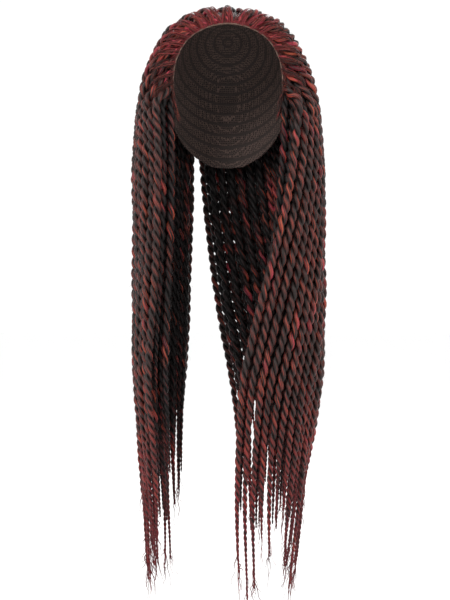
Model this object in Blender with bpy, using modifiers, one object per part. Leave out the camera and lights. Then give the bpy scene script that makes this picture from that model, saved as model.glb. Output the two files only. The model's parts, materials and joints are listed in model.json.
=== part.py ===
"""A long wig of two-strand rope twists on a lace-front cap, life size, in metres.

The wig faces -Y and +X is on the viewer's right. The origin is the inside of the cap at its
crown, where the wig rests on a head. The cap is an open shell that follows the head, the lace
is the strip that carries the hairline, and each twist of hair is a tapered solid of its own
that starts on the cap or the lace, runs over the cap and hangs to its tip.
"""

import math
import random

import bmesh
import bpy
import numpy as np
from mathutils import Vector

# The head that the cap is made for, and the cap's own walls.
HEAD_HALF_WIDTH = 0.076
HEAD_HALF_DEPTH = 0.095
CROWN_HEIGHT = 0.083  # from the widest level of the head up to its crown
NAPE_REACH = 0.150  # how fast the cap narrows below the widest level
CAP_WALL = 0.0015
LACE_WALL = 0.0010
LACE_WIDTH = 0.012
CLEARANCE = 0.0003  # between pieces that touch

# The twists of hair.
TWIST_DIAMETER = 0.0101
TWIST_GAP = 0.0017  # air between neighbours where they leave the cap
ROOT_DIAMETER = 0.0056
ROOT_LEAN = 0.92  # a root's end leans, so its middle lies nearer the cap than its radius
ROOT_SETBACK = 0.0022  # from the hairline to the first roots
ROOT_TAPER = 0.016  # length over which a root reaches the full diameter
SEAT = 0.0009  # under a twist where it lies along the cap, whose facets it spans
TIP_DIAMETER = 0.0020
LIFT_LENGTH = 0.045  # length over which a twist rises from its root to its lie
FALL_SHARE = 0.18  # share of its way over the cap that a twist falls straight down
WAVE = 0.0016  # how far a hanging twist sways in and out
ROOT_SPACING = 0.0135  # between roots at the hairline; the other twists start behind them
ROOT_SPREAD = 1.25  # above 1, more of the twists near the temple start at the hairline
TEMPLE_ROOM = 0.86  # below 1, the roots near the temple lie wider apart

# The hanging hair.
LEAVE_DROP = 0.110  # below the crown, where the twists leave the cap
HANG_HALF_WIDTH = 0.1165
HANG_HALF_DEPTH = 0.1160
LONGEST_DROP = 0.702  # below the crown, the lowest tip
SHORTEST_DROP = 0.590
PART_AZIMUTH = -20.0  # degrees round the head from the front, + to the right
TEMPLE_ANGLE = 94.0  # degrees down from the crown, the lowest root at the hairline
RIGHT_SHARE = 0.5625  # share of the twists that hang right of the part

HEAD_CENTRE = np.array([0.0, 0.0, -CROWN_HEIGHT])

# The rim of the right half of the cap: degrees round the head from the front, degrees down
# from the crown, and the width of the lace there as a share of LACE_WIDTH.
RIM = [
    (0, 43.0, 1.0),
    (10, 43.6, 1.0),
    (20, 45.2, 1.0),
    (30, 48.0, 1.0),
    (40, 52.0, 1.0),
    (48, 57.5, 1.0),
    (53.5, 66.0, 1.0),
    (57, 76.0, 1.0),
    (58.5, 86.0, 0.9),
    (59.5, 94.0, 0.7),
    (61, 105.0, 0.4),
    (66, 108.0, 0.0),
    (75, 104.0, 0.0),
    (85, 101.5, 0.0),
    (97, 103.0, 0.0),
    (110, 110.0, 0.0),
    (125, 118.0, 0.0),
    (140, 124.0, 0.0),
    (160, 129.0, 0.0),
    (180, 130.0, 0.0),
]
CAP_POLE = (180.0, 38.0)  # where the cap's ribs meet, behind the crown
CAP_RINGS = 11
WIDEST_RIB = 8.0  # degrees between two ribs of the cap, at most

# How high a twist's middle lies over the head, in shares of TWIST_DIAMETER, by the degrees
# down from the crown.
LIE = [(0, 0.80), (14, 0.84), (31, 1.20), (47, 1.75), (72, 2.05), (86, 2.55), (98, 3.0), (120, 3.2)]

# Sections through the hanging hair. The drop is a share of LONGEST_DROP, the half depth and
# the shift back of the middle are shares of HANG_HALF_DEPTH, and the rest are shares of
# HANG_HALF_WIDTH: the half width, the shift sideways of the middle, and the x where the front
# and the back row end on the right and on the left. Crowding is how much closer the twists of
# the right side hang at the front than at the back.
HANG = [
    # drop, half_width, half_depth, side, back, right_front, right_back, left_front, left_back, crowding
    (0.153, 0.950, 0.960, 0.004, 0.110, 0.700, -0.370, -0.710, -0.370, 0.00),
    (0.280, 0.992, 0.965, 0.008, 0.060, 0.605, -0.330, -0.660, -0.380, 0.02),
    (0.420, 0.985, 0.955, 0.010, 0.030, 0.415, -0.240, -0.700, -0.400, 0.08),
    (0.560, 0.985, 0.930, 0.012, 0.010, 0.205, -0.120, -0.760, -0.430, 0.16),
    (0.640, 0.972, 0.910, 0.000, 0.000, 0.100, -0.030, -0.775, -0.470, 0.22),
    (0.720, 0.925, 0.880, -0.020, 0.000, 0.070, 0.040, -0.750, -0.510, 0.22),
    (0.840, 0.845, 0.850, -0.045, 0.000, 0.050, 0.080, -0.720, -0.520, 0.18),
    (1.000, 0.765, 0.820, -0.070, 0.000, 0.080, 0.120, -0.680, -0.510, 0.15),
]
ROUNDNESS = 2.6  # 2 hangs in an oval, more hangs squarer

# The taper of a hanging twist: the drop as a share of LONGEST_DROP, the share of the diameter.
TAPER = [(0.0, 1.0), (0.50, 1.0), (0.58, 0.96), (0.64, 0.90), (0.73, 0.77), (0.84, 0.58), (0.93, 0.36), (1.0, 0.22)]

CAP_STEPS = 8  # sections of a twist over the cap
HANG_STEPS = 7  # sections of a twist below it
SEED = 5

CAP_COLOUR = (0.020, 0.016, 0.016, 1.0)
LACE_COLOUR = (0.30, 0.17, 0.12, 1.0)
HAIR_COLOUR = (0.045, 0.022, 0.022, 1.0)


# Places on the head.


def round_direction(azimuth, angle):
    """A direction from the head's middle, in the round space where the head is a ball."""
    azimuth, angle = math.radians(azimuth), math.radians(angle)
    side = math.sin(angle)
    return np.array([side * math.sin(azimuth), -side * math.cos(azimuth), math.cos(angle)])


def head_axes(direction):
    """The head's half sizes on the half that a direction points into."""
    vertical = CROWN_HEIGHT if direction[2] >= 0 else NAPE_REACH
    return np.array([HEAD_HALF_WIDTH, HEAD_HALF_DEPTH, vertical])


def head_point(direction, height):
    """The point at a height over the head."""
    return HEAD_CENTRE + (head_axes(direction) + height) * direction


def over_head(point):
    """The direction and the height over the head of a point outside it."""
    away = point - HEAD_CENTRE
    axes = head_axes(away)
    low, high = -0.9 * min(axes), 2.0
    for _ in range(50):
        middle = (low + high) / 2
        if np.linalg.norm(away / (axes + middle)) > 1.0:
            low = middle
        else:
            high = middle
    direction = away / (axes + high)
    return direction / np.linalg.norm(direction), high


def between(start, end, share):
    """The direction that lies a share of the way along the great circle from start to end."""
    angle = math.acos(max(-1.0, min(1.0, float(np.dot(start, end)))))
    if angle < 1e-6:
        return start
    mixed = math.sin((1 - share) * angle) * start + math.sin(share * angle) * end
    return mixed / np.linalg.norm(mixed)


def set_back(direction, distance):
    """A direction moved over the cap towards the pole of its ribs by a distance."""
    pole = round_direction(*CAP_POLE)
    start, end = head_point(direction, 0.0), head_point(pole, 0.0)
    return between(direction, pole, distance / (1.12 * np.linalg.norm(end - start)))


def flow(columns, place):
    """A value read from (place, value) rows by a smooth curve through them."""
    places = [row[0] for row in columns]
    values = [row[1] for row in columns]
    slopes = np.gradient(np.array(values, dtype=float), np.array(places, dtype=float))
    place = max(places[0], min(places[-1], place))
    step = max(i for i in range(len(places) - 1) if places[i] <= place)
    width = places[step + 1] - places[step]
    share = (place - places[step]) / width
    a = (1 + 2 * share) * (1 - share) ** 2 * values[step]
    b = share * (1 - share) ** 2 * width * slopes[step]
    c = share**2 * (3 - 2 * share) * values[step + 1]
    d = share**2 * (share - 1) * width * slopes[step + 1]
    return a + b + c + d


def ease(share):
    """0 to 1, level at both ends."""
    share = max(0.0, min(1.0, share))
    return share * share * (3 - 2 * share)


def along(points, place):
    """The point a length along a line of points."""
    steps = np.linalg.norm(np.diff(points, axis=0), axis=1)
    lengths = np.concatenate([[0.0], np.cumsum(steps)])
    return np.array([np.interp(place, lengths, points[:, axis]) for axis in range(3)])


def length_of(points):
    return float(np.linalg.norm(np.diff(points, axis=0), axis=1).sum())


# The hairline, from the left temple over the forehead to the right temple.


def hairline_half(sign):
    """Directions along one half of the hairline, from the front down to the temple."""
    rows = [(row[0] * sign, row[1]) for row in RIM if row[1] <= TEMPLE_ANGLE]
    fine = []
    for first, second in zip(rows, rows[1:]):
        for step in range(8):
            share = step / 8
            fine.append(
                round_direction(
                    first[0] + share * (second[0] - first[0]),
                    first[1] + share * (second[1] - first[1]),
                )
            )
    fine.append(round_direction(*rows[-1]))
    return fine


def hairline_run(side):
    """A side's hairline from its temple to the part, as points on the cap, and the length
    along it that the roots take."""
    line = hairline_half(-1)[::-1] + hairline_half(1)[1:]
    azimuths = [math.degrees(math.atan2(u[0], -u[1])) for u in line]
    part_at = min(range(len(line)), key=lambda i: abs(azimuths[i] - PART_AZIMUTH))
    run = line[part_at:][::-1] if side == "right" else line[: part_at + 1]
    points = np.array([head_point(u, CAP_WALL) for u in run])
    return points, length_of(points) - 0.55 * (TWIST_DIAMETER + TWIST_GAP)


def hairline_roots(side, count):
    """The first direction of each hairline twist of a side, from its temple to the part, by the
    twist's number: as many as fit, spread over the side's count of twists."""
    points, reach = hairline_run(side)
    most = min(count, 1 + round(reach / ROOT_SPACING))
    roots = {}
    for index in range(most):
        direction, _ = over_head(along(points, reach * (index / max(1, most - 1)) ** TEMPLE_ROOM))
        number = round((count - 1) * (index / max(1, most - 1)) ** ROOT_SPREAD)
        roots[number] = set_back(direction, ROOT_SETBACK)
    return roots


# The hanging rows.


def section(drop):
    """The columns of HANG at a drop below the crown, as lengths."""
    share = drop / LONGEST_DROP
    names = ["half_width", "half_depth", "side", "back", "right_front", "right_back", "left_front", "left_back"]
    found = {}
    for column, name in enumerate(names, start=1):
        size = HANG_HALF_DEPTH if name in ("half_depth", "back") else HANG_HALF_WIDTH
        found[name] = size * flow([(row[0], row[column]) for row in HANG], share)
    found["crowding"] = flow([(row[0], row[9]) for row in HANG], share)
    return found


def row_at(side, drop):
    """The line that one side's twists hang on at a drop, from its front end round to its back."""
    cut = section(drop)
    sign = 1 if side == "right" else -1

    def turn(x):
        reach = max(-1.0, min(1.0, (x - cut["side"]) * sign / cut["half_width"]))
        return math.copysign(math.asin(abs(reach) ** (ROUNDNESS / 2)), reach)

    start = turn(cut[side + "_front"])
    end = math.pi - turn(cut[side + "_back"])
    points = []
    for step in range(97):
        angle = start + (end - start) * step / 96
        across = math.copysign(abs(math.sin(angle)) ** (2 / ROUNDNESS), math.sin(angle))
        deep = math.copysign(abs(math.cos(angle)) ** (2 / ROUNDNESS), math.cos(angle))
        points.append(
            (
                cut["side"] + sign * cut["half_width"] * across,
                cut["back"] - cut["half_depth"] * deep,
                -drop,
            )
        )
    return np.array(points), cut["crowding"]


def hang_point(side, place, drop, sway=0.0):
    """Where the twist at a share 0..1 of its side's row hangs at a drop, swayed outwards."""
    points, crowding = row_at(side, drop)
    crowding = crowding if side == "right" else 0.0
    share = place * (1 - crowding) + crowding * place * place
    total = length_of(points)
    point = along(points, share * total)
    if sway:
        out = point - np.array([0.0, 0.0, -drop])
        point = point + sway * out / np.linalg.norm(out)
    return point


def side_count(side):
    """How many twists hang on a side: as many as fit where they leave the cap."""
    whole = sum(length_of(row_at(name, LEAVE_DROP)[0]) for name in ("right", "left"))
    count = int(whole / (TWIST_DIAMETER + TWIST_GAP))
    right = round(count * RIGHT_SHARE)
    return right if side == "right" else count - right


# The routes of the twists.


def lie_height(direction):
    angle = math.degrees(math.acos(max(-1.0, min(1.0, float(direction[2])))))
    return TWIST_DIAMETER * flow(LIE, angle)


def root_diameter(gone):
    """A twist's diameter near its root, at a length from its start."""
    return ROOT_DIAMETER + (TWIST_DIAMETER - ROOT_DIAMETER) * ease(gone / ROOT_TAPER)


def root_height(gone=0.0):
    """The least height of a twist's middle over the head, at a length from its start."""
    seat = CLEARANCE + (SEAT - CLEARANCE) * ease(gone / ROOT_TAPER)
    lean = ROOT_LEAN + (1 - ROOT_LEAN) * ease(gone / ROOT_TAPER)
    return CAP_WALL + seat + lean * root_diameter(gone) / 2


def cap_line(root, leave):
    """A hairline twist's way from its root over the cap to where it leaves it."""
    end, end_height = over_head(leave)
    fall = FALL_SHARE * np.linalg.norm(leave - head_point(root, 0.0))
    above, _ = over_head(leave + np.array([0.0, 0.0, fall]))
    steps = 48
    line, gone, last = [], 0.0, None
    for step in range(steps + 1):
        share = step / steps
        direction = between(between(root, above, share), between(above, end, share), share)
        full = lie_height(direction) + (end_height - lie_height(end)) * share**3
        point = head_point(direction, full)
        if last is not None:
            gone += np.linalg.norm(point - last)
        last = point
        height = root_height() + (full - root_height()) * ease(gone / LIFT_LENGTH)
        line.append(head_point(direction, max(height, root_height(gone))))
    line[-1] = leave
    return np.array(line)


def under_line(lower, upper, share, leave, placed):
    """A twist's way between two hairline twists: it starts where it clears the placed ones."""
    crowd = np.concatenate(placed)
    best, most = None, -1.0
    for aside in (0.0, -0.12, 0.12, -0.24, 0.24):
        line = between_ways(lower, upper, share + aside, leave, crowd)
        for start in range(0, max(1, len(line) - 6), 2):
            way, gone = lifted(line[start:])
            gaps = [np.linalg.norm(crowd - point, axis=1).min() for point in way]
            slim = [(TWIST_DIAMETER - root_diameter(done)) / 2 for done in gone]
            room = min(gap + spare for gap, spare in zip(gaps, slim))
            if room > most:
                best, most = way, room
            if room >= TWIST_DIAMETER + 0.5 * TWIST_GAP:
                return best
    return best


def between_ways(lower, upper, share, leave, crowd):
    """A way a share of the way from a lower to an upper one, back from where it leaves the cap
    to where it would touch the crowd."""
    end, end_height = over_head(leave)
    apart = TWIST_DIAMETER + 0.8 * TWIST_GAP
    line = []
    for step in range(48, -1, -1):
        part = step / 48
        first, first_height = over_head(lower[step])
        second, second_height = over_head(upper[step])
        blend = between(first, second, share)
        mixed = between(blend, end, part**4)
        full = lie_height(mixed) + (end_height - lie_height(end)) * part**3
        height = min(full, max(first_height, second_height))
        while height > root_height():
            gap = np.linalg.norm(crowd - head_point(mixed, height), axis=1).min()
            if gap >= apart:
                break
            height -= 0.0004
        if height <= root_height() and step < 46:
            break
        line.append(head_point(mixed, max(height, root_height())))
    line = line[::-1]
    line[-1] = leave
    return line


def lifted(line):
    """A way over the cap with its first stretch brought down to the cap, and the length gone
    at each of its points."""
    rise = over_head(along(np.array(line), 0.7 * LIFT_LENGTH))[1] - root_height()
    steep = max(0.5 * LIFT_LENGTH, 1.25 * rise)
    lift, lengths = [], []
    gone = 0.0
    for number, point in enumerate(line):
        if number:
            gone += np.linalg.norm(point - line[number - 1])
        direction, height = over_head(point)
        low = root_height() + (height - root_height()) * ease(gone / steep)
        lift.append(head_point(direction, max(min(height, low), root_height(gone))))
        lengths.append(gone)
    return np.array(lift), lengths


def fill(points, spacing):
    """The same line with a point at every spacing."""
    total = length_of(points)
    count = max(2, int(total / spacing))
    return np.array([along(points, total * step / count) for step in range(count + 1)])


def soften(points, passes):
    """A line of points with its kinks worn down and its ends kept."""
    for _ in range(passes):
        inner = 0.25 * points[:-2] + 0.5 * points[1:-1] + 0.25 * points[2:]
        points = np.concatenate([points[:1], inner, points[-1:]])
    return points


def twist_routes():
    """Each twist's name and its middle line, with a point about every 4 mm."""
    shake = random.Random(SEED)
    routes = {}
    for side in ("right", "left"):
        count = side_count(side)
        places = [(index + 0.5) / count for index in range(count)]
        leaves = [hang_point(side, place, LEAVE_DROP) for place in places]
        over = {top: cap_line(root, leaves[top]) for top, root in hairline_roots(side, count).items()}
        tops = sorted(over)
        lines = dict(over)
        for low, high in zip(tops, tops[1:]):
            for index in range(low + 1, high):
                placed = [line for other, line in lines.items() if abs(other - index) <= high - low]
                share = (index - low) / (high - low)
                lines[index] = under_line(over[low], over[high], share, leaves[index], placed)
        for index in range(count):
            phase = shake.uniform(0, 2 * math.pi)
            drop = SHORTEST_DROP + (LONGEST_DROP - SHORTEST_DROP) * shake.random() ** 1.3
            if side == "right" and index == 1:
                drop = LONGEST_DROP
            hang = []
            for step in range(1, 41):
                here = LEAVE_DROP + (drop - LEAVE_DROP) * step / 40
                sway = WAVE * math.sin(phase + 26 * (here - LEAVE_DROP)) * ease((here - LEAVE_DROP) / 0.1)
                hang.append(hang_point(side, places[index], here, sway))
            line = np.concatenate([lines[index], np.array(hang)])
            line = soften(fill(line, 0.004), 8)
            routes["twist_%s_%02d" % (side, index + 1)] = line
    return routes


def twist_radius(point, gone, left):
    """A twist's radius at a point, a length from its root and a length from its tip."""
    full = TWIST_DIAMETER * flow(TAPER, -point[2] / LONGEST_DROP)
    tip = TIP_DIAMETER + (TWIST_DIAMETER - TIP_DIAMETER) * min(1.0, left / 0.12)
    return min(full, root_diameter(gone), tip) / 2


# The solids.


def material(name, colour, roughness):
    made = bpy.data.materials.new(name)
    made.use_nodes = True
    shader = made.node_tree.nodes["Principled BSDF"]
    shader.inputs["Base Color"].default_value = colour
    shader.inputs["Roughness"].default_value = roughness
    shader.inputs["Metallic"].default_value = 0.0
    made.diffuse_color = colour
    return made


def shell(name, columns, base, wall, surface, collection):
    """Half a shell from columns of directions, mirrored to the left and given its wall."""
    mesh = bpy.data.meshes.new(name)
    shape = bmesh.new()
    grid = [[shape.verts.new(head_point(direction, base)) for direction in column] for column in columns]
    for first, second in zip(grid, grid[1:]):
        for row in range(len(first) - 1):
            shape.faces.new((first[row], second[row], second[row + 1], first[row + 1]))
    for vertex in shape.verts:
        vertex.co.x = max(0.0, vertex.co.x)
    bmesh.ops.remove_doubles(shape, verts=shape.verts, dist=1e-6)
    shape.normal_update()
    middle = Vector(HEAD_CENTRE)
    if sum(face.normal.dot(face.calc_center_median() - middle) for face in shape.faces) < 0:
        bmesh.ops.reverse_faces(shape, faces=shape.faces)
    shape.to_mesh(mesh)
    shape.free()
    mesh.materials.append(surface)
    made = bpy.data.objects.new(name, mesh)
    collection.objects.link(made)
    half = made.modifiers.new("other half", "MIRROR")
    half.use_axis = (True, False, False)
    half.use_clip = True
    half.merge_threshold = 0.0001
    walls = made.modifiers.new("wall", "SOLIDIFY")
    walls.thickness = wall
    walls.offset = 1.0
    walls.use_even_offset = True
    return made


def fine_rim():
    """The rows of the rim, with a row more wherever two lie far apart round the head."""
    rows = []
    for first, second in zip(RIM, RIM[1:]):
        rows.append(first)
        if second[0] - first[0] > WIDEST_RIB and first[2] == 0:
            rows.append(tuple((a + b) / 2 for a, b in zip(first, second)))
    return rows + [RIM[-1]]


def cap_columns():
    """Columns from the rim, behind the lace where there is one, to the pole of the ribs."""
    columns = []
    for row in fine_rim():
        start = round_direction(row[0], row[1])
        if row[2] > 0:
            start = set_back(start, LACE_WIDTH * row[2] + CLEARANCE)
        pole = round_direction(*CAP_POLE)
        columns.append([between(start, pole, ring / CAP_RINGS) for ring in range(CAP_RINGS + 1)])
    return columns


def lace_columns():
    columns = []
    for row in RIM:
        if row[2] == 0:
            break
        start = round_direction(row[0], row[1])
        columns.append([set_back(start, LACE_WIDTH * row[2] * step / 2) for step in range(3)])
    return columns


def twist(name, line, surface, collection):
    """A tapered lock of hair along its middle line."""
    total = length_of(line)
    lengths = np.concatenate([[0.0], np.cumsum(np.linalg.norm(np.diff(line, axis=0), axis=1))])
    leave = float(np.interp(LEAVE_DROP, *leave_order(line, lengths)))
    first = min(ROOT_TAPER / 4, leave / CAP_STEPS)
    stops = [0.0] + [first + (leave - first) * step / (CAP_STEPS - 1) for step in range(CAP_STEPS - 1)]
    stops += [leave + (total - leave) * step / HANG_STEPS for step in range(HANG_STEPS + 1)]
    curve = bpy.data.curves.new(name, "CURVE")
    curve.dimensions = "3D"
    curve.bevel_mode = "ROUND"
    curve.bevel_depth = 1.0
    curve.bevel_resolution = 1
    curve.use_fill_caps = True
    curve.render_resolution_u = 0
    spline = curve.splines.new("POLY")
    spline.points.add(len(stops) - 1)
    for knot, stop in zip(spline.points, stops):
        point = along(line, stop)
        knot.co = (*point, 1.0)
        knot.radius = twist_radius(point, stop, total - stop)
    curve.materials.append(surface)
    made = bpy.data.objects.new(name, curve)
    collection.objects.link(made)
    return made


def leave_order(line, lengths):
    """Drops that only grow, and the lengths at them, for reading where a twist leaves the cap."""
    drops = np.maximum.accumulate(-line[:, 2])
    return drops + 1e-9 * np.arange(len(drops)), lengths


def main():
    for old in list(bpy.data.objects):
        bpy.data.objects.remove(old)
    wig = bpy.data.collections.new("rope twist wig")
    bpy.context.scene.collection.children.link(wig)
    cap_surface = material("cap net", CAP_COLOUR, 0.8)
    lace_surface = material("lace", LACE_COLOUR, 0.7)
    hair_surface = material("twisted hair", HAIR_COLOUR, 0.55)
    shell("cap", cap_columns(), 0.0, CAP_WALL, cap_surface, wig)
    shell("lace_front", lace_columns(), CAP_WALL - LACE_WALL, LACE_WALL, lace_surface, wig)
    for name, line in twist_routes().items():
        twist(name, line, hair_surface, wig)


main()
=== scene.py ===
"""The looks of a long wig of two-strand rope twists on a lace-front cap."""

import json
import math
import random

import bpy
import numpy as np
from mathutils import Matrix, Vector

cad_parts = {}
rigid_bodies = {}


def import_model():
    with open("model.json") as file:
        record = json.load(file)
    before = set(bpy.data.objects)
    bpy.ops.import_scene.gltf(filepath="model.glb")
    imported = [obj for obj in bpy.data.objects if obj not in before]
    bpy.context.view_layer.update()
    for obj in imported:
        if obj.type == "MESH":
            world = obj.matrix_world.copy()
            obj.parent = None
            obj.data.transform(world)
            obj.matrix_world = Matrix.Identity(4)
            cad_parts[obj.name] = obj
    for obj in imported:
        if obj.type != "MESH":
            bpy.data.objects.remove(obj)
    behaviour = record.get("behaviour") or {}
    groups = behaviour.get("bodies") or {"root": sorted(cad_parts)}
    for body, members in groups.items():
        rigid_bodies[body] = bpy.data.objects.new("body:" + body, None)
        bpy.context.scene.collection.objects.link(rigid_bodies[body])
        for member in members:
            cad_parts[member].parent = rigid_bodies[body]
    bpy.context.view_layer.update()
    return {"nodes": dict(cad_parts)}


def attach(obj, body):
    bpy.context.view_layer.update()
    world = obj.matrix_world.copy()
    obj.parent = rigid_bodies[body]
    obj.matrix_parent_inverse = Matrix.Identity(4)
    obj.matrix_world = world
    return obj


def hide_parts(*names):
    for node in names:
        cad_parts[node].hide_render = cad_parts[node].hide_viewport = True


for old in list(bpy.data.objects):
    bpy.data.objects.remove(old)
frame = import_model()


# The cap is one shell of dark stretch net, open for the face and the neck. The hair is sewn to
# it in rows of weft that run round the place where its ribs meet, behind the crown.

HEAD_HALF_WIDTH = 0.076
HEAD_HALF_DEPTH = 0.095
CROWN_HEIGHT = 0.083  # from the widest level of the head up to its crown
HEAD_CENTRE = np.array([0.0, 0.0, -CROWN_HEIGHT])
CAP_POLE = (180.0, 38.0)  # where the cap's ribs meet, behind the crown
NET_CELL = 0.0026
NET_HOLE = (0.014, 0.011, 0.010)
NET_THREAD = (0.130, 0.085, 0.072)
WEFT_ROWS = 20  # from the pole of the ribs to the far side of the head
WEFT_COLOUR = (0.036, 0.026, 0.023)
WEFT_EDGE = (0.10, 0.16)  # of a row's spacing, where half a weft starts and stops to fade
WEFT_RISE = 1.6  # how high a weft stands over the net, in threads


def round_direction(azimuth, angle):
    """A direction from the head's middle, in the round space where the head is a ball."""
    azimuth, angle = math.radians(azimuth), math.radians(angle)
    side = math.sin(angle)
    return np.array([side * math.sin(azimuth), -side * math.cos(azimuth), math.cos(angle)])


def calculated(tree, operation, *values):
    """The result of a sum in a material, of numbers and sockets."""
    made = tree.nodes.new("ShaderNodeMath")
    made.operation = operation
    for number, value in enumerate(values):
        if isinstance(value, bpy.types.NodeSocket):
            tree.links.new(value, made.inputs[number])
        else:
            made.inputs[number].default_value = value
    return made.outputs[0]


def vector_sum(tree, operation, value, constant=None):
    """The node of a vector sum in a material, of a socket and a plain vector."""
    made = tree.nodes.new("ShaderNodeVectorMath")
    made.operation = operation
    tree.links.new(value, made.inputs[0])
    if constant is not None:
        made.inputs[1].default_value = constant
    return made


def rising(tree, value, low, high):
    """0 to 1 as a value goes from low to high, with soft ends."""
    made = tree.nodes.new("ShaderNodeMapRange")
    made.interpolation_type = "SMOOTHSTEP"
    tree.links.new(value, made.inputs["Value"])
    made.inputs["From Min"].default_value = low
    made.inputs["From Max"].default_value = high
    return made.outputs["Result"]


def blended(tree, share, first, second):
    """A colour between two, each a socket or a plain colour."""
    made = tree.nodes.new("ShaderNodeMix")
    made.data_type = "RGBA"
    for value, number in ((share, 0), (first, 6), (second, 7)):
        if isinstance(value, bpy.types.NodeSocket):
            tree.links.new(value, made.inputs[number])
        else:
            made.inputs[number].default_value = (*value, 1.0)
    return made.outputs[2]


def new_group(name, given, put_out):
    """A shader node group with its sockets, each (name, kind), and its two end nodes."""
    tree = bpy.data.node_groups.new(name, "ShaderNodeTree")
    for socket, kind in given:
        tree.interface.new_socket(socket, in_out="INPUT", socket_type="NodeSocket" + kind)
    for socket, kind in put_out:
        tree.interface.new_socket(socket, in_out="OUTPUT", socket_type="NodeSocket" + kind)
    return tree, tree.nodes.new("NodeGroupInput").outputs, tree.nodes.new("NodeGroupOutput").inputs


def place_group(tree, group, **values):
    """A group placed in a material with its own values, spaces for the underlines."""
    made = tree.nodes.new("ShaderNodeGroup")
    made.node_tree = group
    for name, value in values.items():
        socket = made.inputs[name.replace("_", " ")]
        if isinstance(value, bpy.types.NodeSocket):
            tree.links.new(value, socket)
        else:
            socket.default_value = (*value, 1.0) if isinstance(value, tuple) else value
    return made.outputs


def new_surface(name, roughness, **constants):
    """A material, its node tree, its shader and the piece's own coordinates."""
    made = bpy.data.materials.new(name)
    made.use_nodes = True
    tree = made.node_tree
    shader = tree.nodes["Principled BSDF"]
    shader.inputs["Roughness"].default_value = roughness
    for socket, value in constants.items():
        shader.inputs[socket.replace("_", " ")].default_value = value
    return made, tree, shader, tree.nodes.new("ShaderNodeTexCoord").outputs["Object"]


def raised(tree, shader, height, strength, distance):
    """Feeds a height to a shader as bumps."""
    bump = tree.nodes.new("ShaderNodeBump")
    bump.inputs["Strength"].default_value = strength
    bump.inputs["Distance"].default_value = distance
    tree.links.new(height, bump.inputs["Height"])
    tree.links.new(bump.outputs["Normal"], shader.inputs["Normal"])


NET_THREADS, given, put_out = new_group(
    "net threads",
    [("Place", "Vector"), ("Cells", "Float"), ("Thread", "Float")],
    [("Thread", "Float")],
)
cells = NET_THREADS.nodes.new("ShaderNodeTexVoronoi")
cells.feature = "DISTANCE_TO_EDGE"
cells.inputs["Randomness"].default_value = 0.4
NET_THREADS.links.new(given["Place"], cells.inputs["Vector"])
NET_THREADS.links.new(given["Cells"], cells.inputs["Scale"])
inside = calculated(NET_THREADS, "DIVIDE", cells.outputs["Distance"], given["Thread"])
inside = rising(NET_THREADS, inside, 0.5, 1.5)
NET_THREADS.links.new(calculated(NET_THREADS, "SUBTRACT", 1.0, inside), put_out[0])

CAP_NET, tree, shader, place = new_surface("cap net", 0.75, Specular_IOR_Level=0.3)
thread = place_group(tree, NET_THREADS, Place=place, Cells=1 / NET_CELL, Thread=0.10)[0]
from_middle = vector_sum(tree, "SUBTRACT", place, HEAD_CENTRE).outputs[0]
half_sizes = (HEAD_HALF_WIDTH, HEAD_HALF_DEPTH, CROWN_HEIGHT)
ball = vector_sum(tree, "DIVIDE", from_middle, half_sizes).outputs[0]
unit = vector_sum(tree, "NORMALIZE", ball).outputs[0]
facing = vector_sum(tree, "DOT_PRODUCT", unit, round_direction(*CAP_POLE))
turned = calculated(tree, "ARCCOSINE", facing.outputs["Value"])
row = calculated(tree, "FRACT", calculated(tree, "MULTIPLY", turned, WEFT_ROWS / math.pi))
off_row = calculated(tree, "ABSOLUTE", calculated(tree, "SUBTRACT", row, 0.5))
weft = calculated(tree, "SUBTRACT", 1.0, rising(tree, off_row, *WEFT_EDGE))
net_colour = blended(tree, thread, NET_HOLE, NET_THREAD)
tree.links.new(blended(tree, weft, net_colour, WEFT_COLOUR), shader.inputs["Base Color"])
weft_height = calculated(tree, "MULTIPLY", weft, WEFT_RISE)
raised(tree, shader, calculated(tree, "MAXIMUM", thread, weft_height), 0.6, 0.0005)
cap = frame["nodes"]["cap"]
cap.data.materials.clear()
cap.data.materials.append(CAP_NET)


# The lace front is a strip of fine lace along the hairline, tinted to the skin and dark with
# the knots of the hair that is tied into it. In wear it is glued down, and its edge is cut close.

LACE_CELL = 0.0012
LACE_HOLE = (0.045, 0.026, 0.022)
LACE_THREAD = (0.20, 0.115, 0.085)

LACE, tree, shader, place = new_surface("lace", 0.7, Specular_IOR_Level=0.3)
thread = place_group(tree, NET_THREADS, Place=place, Cells=1 / LACE_CELL, Thread=0.12)[0]
tree.links.new(blended(tree, thread, LACE_HOLE, LACE_THREAD), shader.inputs["Base Color"])
raised(tree, shader, thread, 0.5, 0.0003)
lace_front = frame["nodes"]["lace_front"]
lace_front.data.materials.clear()
lace_front.data.materials.append(LACE)


# Each rope twist is a lock of hair about 10 mm across: two plies of fine fibre wound round each
# other, a full turn every 27 mm, all turning the same way. It is rooted in the lace or sewn to
# the cap, lies over the cap, hangs, and thins out to its tip. These are the routes of the solids.

NAPE_REACH = 0.150  # how fast the cap narrows below the widest level
CAP_WALL = 0.0015
CLEARANCE = 0.0003  # between pieces that touch
TWIST_DIAMETER = 0.0101
TWIST_GAP = 0.0017  # air between neighbours where they leave the cap
ROOT_DIAMETER = 0.0056
ROOT_LEAN = 0.92  # a root's end leans, so its middle lies nearer the cap than its radius
ROOT_SETBACK = 0.0022  # from the hairline to the first roots
ARC_TO_CHORD = 1.12  # of the way over the cap from the hairline to the pole of the ribs
ROOT_TAPER = 0.016  # length over which a root reaches the full diameter
SEAT = 0.0009  # under a twist where it lies along the cap, whose facets it spans
TIP_DIAMETER = 0.0020
LIFT_LENGTH = 0.045  # length over which a twist rises from its root to its lie
FALL_SHARE = 0.18  # share of its way over the cap that a twist falls straight down
WAVE = 0.0016  # how far a hanging twist sways in and out
ROOT_SPACING = 0.0135  # between roots at the hairline; the other twists start behind them
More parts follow.
